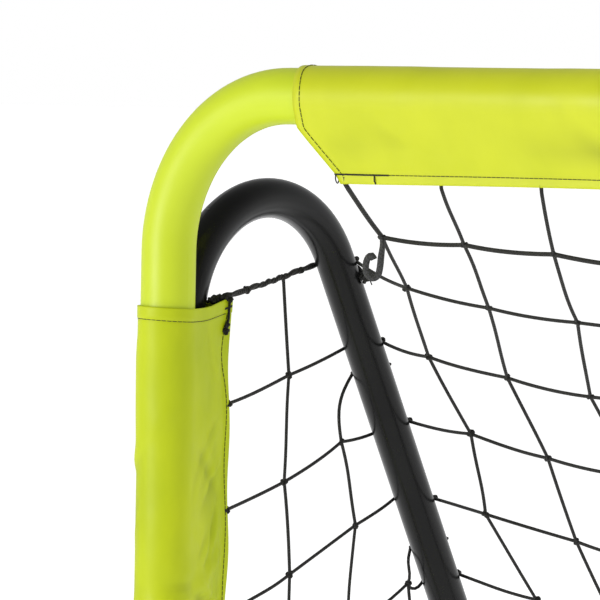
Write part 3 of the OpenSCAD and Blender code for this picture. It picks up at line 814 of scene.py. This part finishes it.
def crossbar_sleeve():
    """The sheet round the crossbar, with its flap, slanted ends and sewn hem."""
    grid, normal, folds, x, edge = crossbar_grid(np.random.default_rng(41))
    builder = Builder()
    sheet(builder, place(grid), False)
    obj = builder.make("crossbar_wrap", CROSS_CLOTH)
    # Painted shade in the folds, stored for the cloth material.
    store_painted_crease_shade(obj, 1.25 * folds)
    thicken(obj)
    thread = Builder()
    raised = grid + 0.32 * normal
    for sign in (-1, 1):
        ends = sign * (edge - EDGE_STITCH)
        stitches(thread, place([point_at(raised, x, c, ends[c]) for c in range(3, CROSS_COLS - 3)]))
    for col in (4, -5):
        stitches(thread, place(raised[2:-2, col]))
    line = thread.make("crossbar_wrap_stitching", THREAD)
    lashing = Builder()
    hem_lashing(lashing, raised, x, edge)
    lash = lashing.make("crossbar_wrap_lashing", NET_CORD)
    for piece in (obj, line, lash):
        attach(piece, "front_frame")
    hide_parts("crossbar_sleeve")


def point_at(grid, x, col, want):
    """The point of one column of the crossbar sleeve at a wanted distance from the middle."""
    row = np.interp(want, x[:, col], np.arange(len(x)))
    low = int(np.clip(math.floor(row), 0, len(x) - 2))
    f = row - low
    return grid[low, col] * (1 - f) + grid[low + 1, col] * f


def hem_lashing(builder, grid, x, edge):
    """At each flap corner, a dark thread along the hem with two turns round its lower edge."""
    for sign in (-1, 1):
        ends = [sign * (edge[-5] - inset) for inset in range(-3, 62, 4)]
        line = np.array([point_at(grid, x, -5, end) for end in ends])
        sweep(builder, place(curve(line, 2)), 0.8, 6)
        for k in (1, 12):
            hem_turn(builder, line[k])


def hem_turn(builder, top):
    """One turn of thread from the hem stitching, round the lower edge and up behind."""
    drop = STRIP_LEN * 0.75
    back = STRIP_T + 1.6
    steps = [(0, 0, 0), (0.6, -0.5, -0.7 * drop), (1, 0.4 * back, -drop - 1.2)]
    steps += [(0.5, back, -0.6 * drop), (0, back, 0)]
    sweep(builder, place(curve([top + step for step in steps], 1.2)), 0.6, 5)


# ---------- net ----------


def hem_x(i):
    """Sideways place of a column where it meets the crossbar hem: even near the posts."""
    last, inner = COLUMNS - 1, HEM_FIRST + HEM_EVEN * HEM_PITCH
    known = [HEM_FIRST, inner, SPAN - inner, SPAN - HEM_FIRST]
    return float(np.interp(i, [0, HEM_EVEN, last - HEM_EVEN, last], known))


def back_x(i):
    """Sideways place of a column on the back panel."""
    return BACK_FIRST + (SPAN - 2 * BACK_FIRST) * i / (COLUMNS - 1)


def spread(seen, j):
    """Row j below the rows in the photograph, evenly on down to the rear bar."""
    return seen + (ARM_RUN - seen) * (j - SEEN_ROWS) / (LAST_ROW - SEEN_ROWS)


def row_s(j):
    """Distance of a net row down the slope from the top of the arm's straight run."""
    if j <= SEEN_ROWS:
        return ROW_START + ARCH_PITCH * min(j, 2) + ROW_PITCH * max(j - 2, 0)
    return spread(row_s(SEEN_ROWS), j)


def tie_s(j):
    """Distance down the arm of the tie that holds a row."""
    if j <= SEEN_ROWS:
        return TIE_START + TIE_PITCH * (j - 2)
    return spread(tie_s(SEEN_ROWS), j)


def slope_point(x, s, off):
    """A point on the back slope: s down it from the arm's top, off to its outside."""
    return np.array([x, RUN_START[1], RUN_START[2]]) + s * DOWN + off * OUT


def back_knots(rng):
    """Places of the knots of the top and back panel, by column and row."""
    knots = {}
    for i in range(COLUMNS):
        knots[i, 0] = np.array([hem_x(i), FLAP_BACK, CORNER_R - FLAP_DROP + 6])
        middle = min(i, COLUMNS - 1 - i)
        slump = 72 * (1 - math.exp(-middle / 3.4))
        for j in range(1, LAST_ROW + 1):
            f = min(1.0, 0.31 * j)
            s = row_s(j)
            hold = np.clip((ARM_RUN - s) / 260, 0, 1)
            hang = 185 * math.exp(-(((s - row_s(0)) / 200) ** 1.2)) + slump * min(1, 0.3 * j + 0.45)
            off = -(hang * hold + (ARM_R + CORD_R + 1) * (1 - hold))
            x = hem_x(i) * (1 - f) + back_x(i) * f
            zigzag = 1 if j == 1 else (-1) ** j
            x += 5.0 * zigzag * (1 if i < COLUMNS / 2 else -1)
            if j < LAST_ROW:
                swing = 8.0 * math.sin(0.3 * math.pi * middle)
                s += 2.0 - 1.6 * min(middle, 2) ** 2 if j == 1 else swing
            if middle == 0 and j == 5:
                s, off = s - 11, off - 15
            shake = rng.normal(0, 1.8, 3) * (1 if j < LAST_ROW else 0.3)
            knots[i, j] = slope_point(x, s, off) + shake
    return knots


def arm_point(s, degrees, radius):
    """A point round the left arm: 0 degrees is outboard, 90 is behind and 180 is inboard."""
    a = math.radians(degrees)
    centre = np.array([ARM_X, RUN_START[1], RUN_START[2]]) + s * DOWN
    return centre + radius * (math.sin(a) * OUT - math.cos(a) * np.array([1.0, 0, 0]))


def mirror(points):
    """Local points moved to the other side of the goal."""
    p = np.array(points, float)
    p[..., 0] = SPAN - p[..., 0]
    return p


def arm_exit(j):
    """Where a back row leaves the arm, on its inboard side."""
    return arm_point(tie_s(j) + 12, 114, ARM_R + CORD_R)


def arm_landing(j):
    """Where a side row meets the arm, on its outboard side."""
    slip = 9.0 * math.sin(2 * math.pi * (j - 3) / 3) if j > 2 else -4.0
    return arm_point(tie_s(j) + 7 + slip, -8, ARM_R + CORD_R)


def arm_wrap(j):
    """The cord over the back of the arm between the side row and the back row."""
    path = [arm_landing(j)]
    path += [arm_point(tie_s(j) + 7 + k, 12 + 102 * k / 6, ARM_R + CORD_R) for k in range(7)]
    return path


def back_net():
    """Columns from the crossbar hem to the rear bar, rows from arm to arm, and their knots."""
    rng = np.random.default_rng(7)
    knots = back_knots(rng)
    last = COLUMNS - 1
    builder = Builder()
    for i in range(COLUMNS):
        path = [knots[i, 0], knots[i, 0] + np.array([0.4, 0.6, -7.0])]
        start = path[-1]
        for j in range(1, LAST_ROW + 1):
            end = knots[i, j]
            path += list(strand(start, end, 1.0, 0.7, rng)[1:])
            start = end
        first = 14 if i in (0, last) else 0
        if first:
            sweep(builder, place(resample(path[:first], 7)), BORDER_R * 1.1)
        sweep(builder, place(resample(path[max(first - 1, 0) :], 7)), CORD_R)
    for j in range(1, LAST_ROW):
        inner = [knots[i, j] for i in range(COLUMNS)]
        stops = inner if j == 1 else [arm_exit(j)] + inner + [mirror(arm_exit(j))]
        path = [stops[0]]
        for a, b in zip(stops, stops[1:]):
            path += list(strand(a, b, rng.uniform(0.4, 2.4), 1.0, rng)[1:])
        sweep(builder, place(resample(path, 7)), BORDER_R if j == 1 else CORD_R)
    for (i, j), at in knots.items():
        if 0 < j < LAST_ROW:
            big = 0.7 if i in (0, last) else 0.0
            knot(builder, at, 4.3 + big, CORD_R, rng)
    bottom_border(builder, knots, rng)
    obj = builder.make("net_back_cords", NET_CORD)
    tails = Builder()
    corner_tail(tails, knots[0, 1], LEFT)
    corner_tail(tails, mirror(knots[last, 1]), RIGHT)
    # The corner tails take the lighter cord, whose lightness is a painted highlight.
    loose = tails.make("net_corner_tails", TAIL_CORD_PAINTED_HIGHLIGHT)
    start, end = place([[0, 7, 72], [0, 215, -20]])
    for piece in (obj, loose):
        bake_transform(piece)
        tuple(start)
        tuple(end)
    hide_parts("net_top", "net_back")


def bottom_border(builder, knots, rng):
    """The bottom cord along the rear bar and a ring round the bar at each column."""
    path = [knots[i, LAST_ROW] for i in range(COLUMNS)]
    left = np.array([34.0, *(REAR_BAR[1:] + (ARM_R + BORDER_R) * np.array([-0.6, 0.8]))])
    sweep(builder, place(curve([left] + path + [mirror(left)], 7)), BORDER_R)
    r = ARM_R + 1.2 * CORD_R
    a = np.linspace(0, 2 * math.pi, 30, endpoint=False)
    for i in range(COLUMNS):
        x = knots[i, LAST_ROW][0] + 3 * np.sin(a + i)
        ring = np.stack([x, REAR_BAR[1] + r * np.cos(a), REAR_BAR[2] + r * np.sin(a)], 1)
        sweep(builder, place(ring), CORD_R, 8, True)
        knot(builder, knots[i, LAST_ROW] - 1.5 * OUT, 5.2, CORD_R, rng)


def corner_tail(builder, start, side):
    """The loose end that hangs from the top corner knot and curls back up on itself."""
    aside = unit(np.array([0.75, 0.66, 0.0]))
    up = np.array([0.0, 0.0, 1.0])
    turns = [(0, 0), (0.5, -6), (-0.5, -16), (-1.5, -27), (-3.5, -34), (-8.5, -36)]
    turns += [(-13, -32), (-14.2, -25), (-12.5, -18), (-9.0, -15.5), (-6.8, -19)]
    path = [start + (a + 1.0) * aside + (z - 1.0) * up + [0, -2, 0] for a, z in turns]
    path = curve(path, 2.0)
    grow = np.clip(np.linspace(0, 4, len(path)), 0, 1)
    sweep(builder, place(path, side), 2.3 + 0.85 * grow, 10)


def arm_ties(side, name, seed):
    """Cords over the arm between the side and back panels, and the bushy knot at the top one."""
    rng = np.random.default_rng(seed)
    builder = Builder()
    for j in range(2, LAST_ROW):
        sweep(builder, place(curve(arm_wrap(j), 2.5), side), CORD_R if j > 2 else BORDER_R)
        knot(builder, arm_point(tie_s(j) + 12, 106, ARM_R + 3.2), 4.4, CORD_R, rng, side)
    top_knot(builder, side, rng)
    sweep(builder, place(curve(border_cord(0.0), 3), side), BORDER_R * 1.15)
    sweep(builder, place(curve(border_cord(math.pi), 3), side), BORDER_R * 0.75)
    for share, size in BORDER_LUMPS:
        knot(builder, border_point(share) - [0, 0, 1.0], size, CORD_R, rng, side)
        knot(builder, border_point(share + 0.01) + rng.normal(0, 0.8, 3), size - 1, CORD_R, rng, side)
    for share in (0.0, 0.03, 0.06, 0.09, 0.12, 0.155):
        knot(builder, border_point(share) - [0, 0, 1.5], 5.2, CORD_R, rng, side)
    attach(builder.make(name, NET_CORD), "rear_frame")


def top_knot(builder, side, rng):
    """The bushy knot that stands off the inboard side of the arm, with frayed ends."""
    middle = arm_point(tie_s(2) + 24, 150, ARM_R + 7.0)
    for k in range(6):
        at = middle + rng.normal(0, 2.4, 3)
        knot(builder, at, 7.6 - 0.5 * k, CORD_R * 1.2, rng, side, 20)
    for _ in range(9):
        out = unit(rng.normal(size=3) + np.array([0.2, -0.3, -0.3]))
        tip = middle + 10.5 * out
        sweep(builder, place(curve([middle, middle + 5 * out, tip + [0, 0, -1.0]], 1.5), side), 0.65, 5)
    wrap = [arm_point(tie_s(2) + 14 + k, 60 + 86 * k / 8, ARM_R + CORD_R) for k in range(9)]
    sweep(builder, place(curve(wrap, 2.5), side), BORDER_R)


def side_x(y, z):
    """Sideways place of the side panel: from the post seam out to the outside of the arm."""
    arm_y = RUN_START[1] + (RUN_START[2] - z) * math.tan(ARM_SLOPE)
    share = np.clip((y - SEAM[1]) / max(arm_y - SEAM[1], 1), 0, 1)
    return SEAM[0] - 48.5 * share


def border_point(share):
    """The thick top border of the side panel: from the arm leg over the post seam to the arm."""
    stops = np.array([BORDER_START, BORDER_SEAM, arm_landing(2)])
    p = np.array([np.interp(share, [0, 0.17, 1], stops[:, k]) for k in range(3)])
    p[2] -= 1.5 * math.sin(math.pi * share)
    return p


def border_cord(phase):
    """One of the two strands of the top border, twisted round each other."""
    t = np.linspace(0, 1, 72)
    base = np.array([border_point(s) for s in t])
    a = 2 * math.pi * (6.5 * t + 0.35 * np.sin(11 * t)) + phase
    return base + 1.1 * np.stack([np.cos(a), 0 * a, np.sin(a)], 1)


def side_row_point(j, y):
    """A point of side row j at distance y behind the post."""
    seam_z = SEAM_ROW_TOP - SEAM_ROW_PITCH * (j - 2)
    end = arm_landing(j)
    t = (y - SEAM[1]) / (end[1] - SEAM[1])
    z = seam_z * (1 - t) + end[2] * t - 1.2 * 4 * t * (1 - t)
    return np.array([side_x(y, z), y, z])


def top_slide(k):
    """Distance down the arm of the tie that holds the top of side column k."""
    return (SIDE_FIRST + SIDE_PITCH * k + 32 - 3 * k**1.8 - RUN_START[1]) / DOWN[1]


def column_top(k):
    """Where side column k starts: on the top border, or tied to the arm."""
    y = SIDE_FIRST + SIDE_PITCH * k
    if k == 0:
        share = 0.17 + 0.83 * (y - BORDER_SEAM[1]) / (arm_landing(2)[1] - BORDER_SEAM[1])
        return border_point(share)
    return arm_point(top_slide(k), -25, ARM_R + CORD_R)


def ramp(obj, point_a, t_a, point_b, t_b):
    """Bakes a cord's transform into its mesh. It does not blend the cord between frames; the end points
    and shares have no effect.
    """
    if abs(t_b - t_a) < 1e-3:
        t_b = t_a + 1e-3
    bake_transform(obj)


def cord_piece(name, path, side, knots, rng, radius=CORD_R):
    """One net cord with its knots, as a piece of its own."""
    builder = Builder()
    sweep(builder, place(resample(path, 6), side), radius)
    for at in knots:
        knot(builder, at, 4.4, CORD_R, rng, side)
    return builder.make(name, NET_CORD)


def side_net(side, label, seed):
    """The side panel between the post seam, the arm and the ground."""
    rng = np.random.default_rng(seed)
    far = arm_point((RUN_START[2] - BOTTOM_Z) / math.cos(ARM_SLOPE), -30, ARM_R + CORD_R)
    near = np.array([SEAM[0], SEAM[1], BOTTOM_Z])

    def bottom_share(y):
        return (y - near[1]) / (far[1] - near[1])

    columns = [k for k in range(7) if SIDE_FIRST + SIDE_PITCH * k < far[1] - 20]
    chains = {k: [(column_top(k), 1.0)] for k in columns}
    for j in range(3, LAST_ROW):
        row = side_row(side, label, j, columns, chains, bottom_share, rng)
        if j == 3:
            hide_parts("net_left" if side == LEFT else "net_right")
    border = [near + np.array([0, 0, POST_BOTTOM - BOTTOM_Z + 20]), near]
    marks = []
    for k in columns:
        y = SIDE_FIRST + SIDE_PITCH * k
        at = np.array([side_x(y, BOTTOM_Z), y, BOTTOM_Z - 3 * math.sin(math.pi * bottom_share(y))])
        chains[k].append((at, bottom_share(y)))
        marks.append(at)
    stops = [near] + marks + [far]
    for a, b in zip(stops, stops[1:]):
        border += list(strand(a, b, 3, 1.2, rng)[1:])
    piece = cord_piece(label + "_net_bottom", border, side, marks + [near], rng, BORDER_R)
    ramp(piece, Vector(place(near, side)), 0.0, Vector(place(far, side)), 1.0)
    for k, chain in chains.items():
        for n, ((a, ta), (b, tb)) in enumerate(zip(chain, chain[1:])):
            path = strand(a, b, rng.uniform(0.5, 1.8), 2.2, rng)
            if k > 0 and n == 0:
                path[:, 1] -= 9.0 * np.sin(np.linspace(0, math.pi, len(path)))
            piece = cord_piece(f"{label}_net_col_{k}_{n:02d}", path, side, [], rng)
            ramp(piece, Vector(place(a, side)), ta, Vector(place(b, side)), tb)
            if k > 0 and n == 0:
                top_tie(label, k, side)


def top_tie(label, k, side):
    """The ring round the arm that holds the top of a side column."""
    s = top_slide(k)
    turn = np.linspace(-0.44, 2.0, 14)
    path = [arm_point(s + 3 * math.sin(a), math.degrees(a), ARM_R + CORD_R) for a in turn]
    piece = cord_piece(f"{label}_net_tie_{k}", path, side, [], None)
    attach(piece, "rear_frame")


def side_row(side, label, j, columns, chains, bottom_share, rng):
    """One row of the side panel. Its knots are added to the chains of the columns it crosses."""
    end = arm_landing(j)
    start, share = side_row_point(j, SEAM[1]), 0.0
    stops, knots = [], []
    if start[2] < BOTTOM_Z:
        ys = np.linspace(SEAM[1], end[1], 400)
        y = next(y for y in ys if side_row_point(j, y)[2] > BOTTOM_Z)
        start, share = side_row_point(j, y), bottom_share(y)
    stops.append(start)
    for k in columns:
        y = SIDE_FIRST + SIDE_PITCH * k
        drift = 5.0 * (k > 0) * np.clip(j - 4, 0, 2)
        zigzag = 4.5 + 8 * (k > 0) if j % 2 else -4.5
        at = side_row_point(j, y + drift + zigzag)
        top = chains[k][0][0]
        if at[2] > top[2] - 15 or y < start[1] + 15 or y > end[1] - 12:
            continue
        if k > 0 and len(chains[k]) == 1:
            at = at + [0, 0, 9.0]
        at = at + rng.normal(0, 1.6, 3)
        real_t = share + (1 - share) * (at[1] - start[1]) / (end[1] - start[1])
        chains[k].append((at, real_t))
        stops.append(at)
        knots.append(at)
    stops.append(end)
    path = [stops[0]]
    for a, b in zip(stops, stops[1:]):
        slack = 6.0 if np.linalg.norm(b - a) < 60 else 0.0
        path += list(strand(a, b, rng.uniform(0.3, 2.2) + slack, 1.3, rng)[1:])
    piece = cord_piece(f"{label}_net_row_{j:02d}", path, side, [start] + knots, rng)
    ramp(piece, Vector(place(start, side)), share, Vector(place(end, side)), 1.0)
    return piece


# ---------- build ----------

crossbar_sleeve()
post_sleeve(LEFT, "left_post_wrap", "left_post_sleeve", 11)
post_sleeve(RIGHT, "right_post_wrap", "right_post_sleeve", 12)
back_net()
arm_ties(LEFT, "left_net_ties", 21)
arm_ties(RIGHT, "right_net_ties", 22)
side_net(LEFT, "left", 31)
side_net(RIGHT, "right", 32)


# ---------- stage ----------


def floor():
    """A wide pale round floor."""
    count, radius, drop = 96, 260.0, 0.0005
    mesh = bpy.data.meshes.new("floor")
    a = np.linspace(0, 2 * math.pi, count, endpoint=False)
    rim = np.stack([radius * np.cos(a), radius * np.sin(a), 0 * a - drop], 1)
    faces = [(count, k, (k + 1) % count) for k in range(count)]
    mesh.from_pydata(rim.tolist() + [[0, 0, -drop]], [], faces)
    mat, tree, shader, coords = start_material("floor_paint")
    shade = noise(tree, coords["Object"], 1.2, 3)
    seen = node(tree, "LightPath").outputs["Is Camera Ray"]
    setup(
        tree,
        shader,
        Base_Color=two_tone(tree, shade, (0.80, 0.80, 0.80), (0.83, 0.83, 0.83)),
        Roughness=0.7,
        Specular_IOR_Level=0.1,
        Emission_Color=WHITE,
        Emission_Strength=calc(tree, "MULTIPLY_ADD", seen, 0.32, 0.30),
    )
    mesh.materials.append(mat)
    add_object("floor", mesh)


def world():
    """White to the camera. As light it is dimmer overhead and in front, as in a dark room."""
    w = bpy.data.worlds.new("studio")
    bpy.context.scene.world = w
    w.use_nodes = True
    tree = w.node_tree
    tree.nodes.clear()
    split = node(tree, "SeparateXYZ", Vector=node(tree, "TexCoord").outputs["Generated"]).outputs
    overhead = map_range(tree, split["Z"], (0.0, 0.9), (1.0, 0.8))
    front = map_range(tree, split["Y"], (-1.0, 0.3), (0.3, 0.85))
    ray = node(tree, "LightPath").outputs
    steep = calc(tree, "MULTIPLY_ADD", ray["Is Glossy Ray"], 6.4, 1.0)
    dimmed = calc(tree, "MULTIPLY", calc(tree, "POWER", overhead, steep), front)
    light = node(tree, "Background", Color=WHITE, Strength=dimmed)
    plain = node(tree, "Background", Color=WHITE, Strength=1.0)
    node(tree, "OutputWorld", Surface=mix_shaders(tree, ray["Is Camera Ray"], light, plain))


def softbox(name, at, size, power, mirrored):
    """A large area light that points at the middle of the goal. It may be left out of reflections."""
    data = bpy.data.lights.new(name, "AREA")
    data.shape = "SQUARE"
    data.size = size
    data.energy = power
    obj = add_object(name, data)
    obj.location = at
    obj.visible_glossy = mirrored
    aim = Vector((0, 0, 0.7)) - Vector(at)
    obj.rotation_euler = aim.to_track_quat("-Z", "Y").to_euler()


def camera():
    """A long lens on the top left corner, at the viewing angle of the photograph."""
    azimuth, elevation, roll = (math.radians(a) for a in (41.28, 3.39, 1.13))
    level = math.cos(elevation)
    back = Vector((math.sin(azimuth) * level, -math.cos(azimuth) * level, math.sin(elevation)))
    right = Vector((math.cos(azimuth), math.sin(azimuth), 0))
    up = back.cross(right)
    turned_right = math.cos(roll) * right + math.sin(roll) * up
    turned_up = math.cos(roll) * up - math.sin(roll) * right
    data = bpy.data.cameras.new("camera")
    data.sensor_width = 36.0
    data.lens = 208.2
    data.clip_end = 600
    obj = add_object("camera", data)
    turn = Matrix((turned_right, turned_up, back)).transposed().to_4x4()
    obj.matrix_world = Matrix.Translation(Vector(place([2177.6, -2297.7, 145.7]))) @ turn
    bpy.context.scene.camera = obj


floor()
world()
softbox("key", (-2.2, -5.0, 1.5), 1.8, 118, True)
softbox("fill", (4.6, 1.0, 3.4), 3.0, 55, False)
softbox("rear", (-1.5, 4.8, 3.6), 3.0, 70, False)
camera()
bpy.context.scene.view_settings.view_transform = "Standard"
